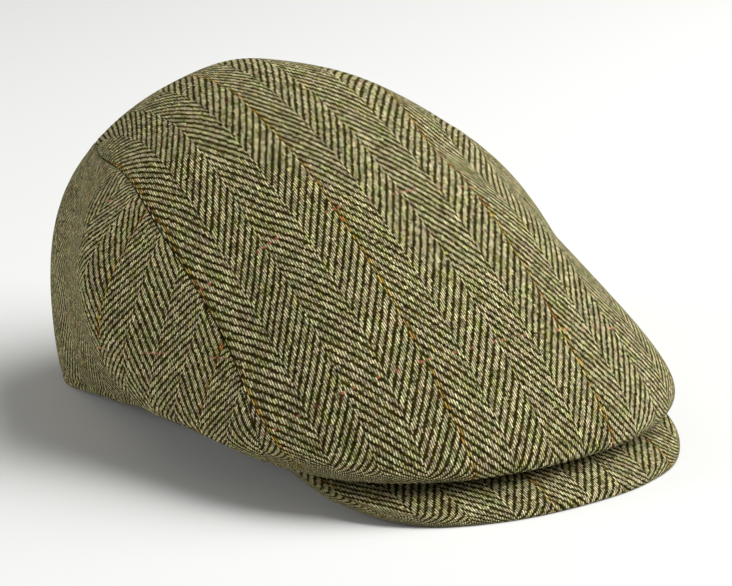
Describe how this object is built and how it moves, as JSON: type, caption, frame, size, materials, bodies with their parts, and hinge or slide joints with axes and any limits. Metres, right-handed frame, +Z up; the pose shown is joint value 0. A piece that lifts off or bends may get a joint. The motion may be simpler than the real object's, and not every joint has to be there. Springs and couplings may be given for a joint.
{
  "type": "flat cap",
  "caption": "Flat cap in herringbone tweed: rounded crown of a top panel and side panels, open below for the head, with a short stiff peak at the front.",
  "frame": {"origin": "middle of the cap's length and width, on the surface it rests on", "axes": "+Z up, peak towards -Y, the wearer's left towards +X"},
  "size_m": [0.2228, 0.2775, 0.1336],
  "materials": {
    "tweed": "matt woven wool, herringbone"
  },
  "bodies": {
    "root": {"top_panel": "tweed", "side_panel_right": "tweed", "side_panel_left": "tweed", "peak": "tweed"}
  },
  "joints": []
}
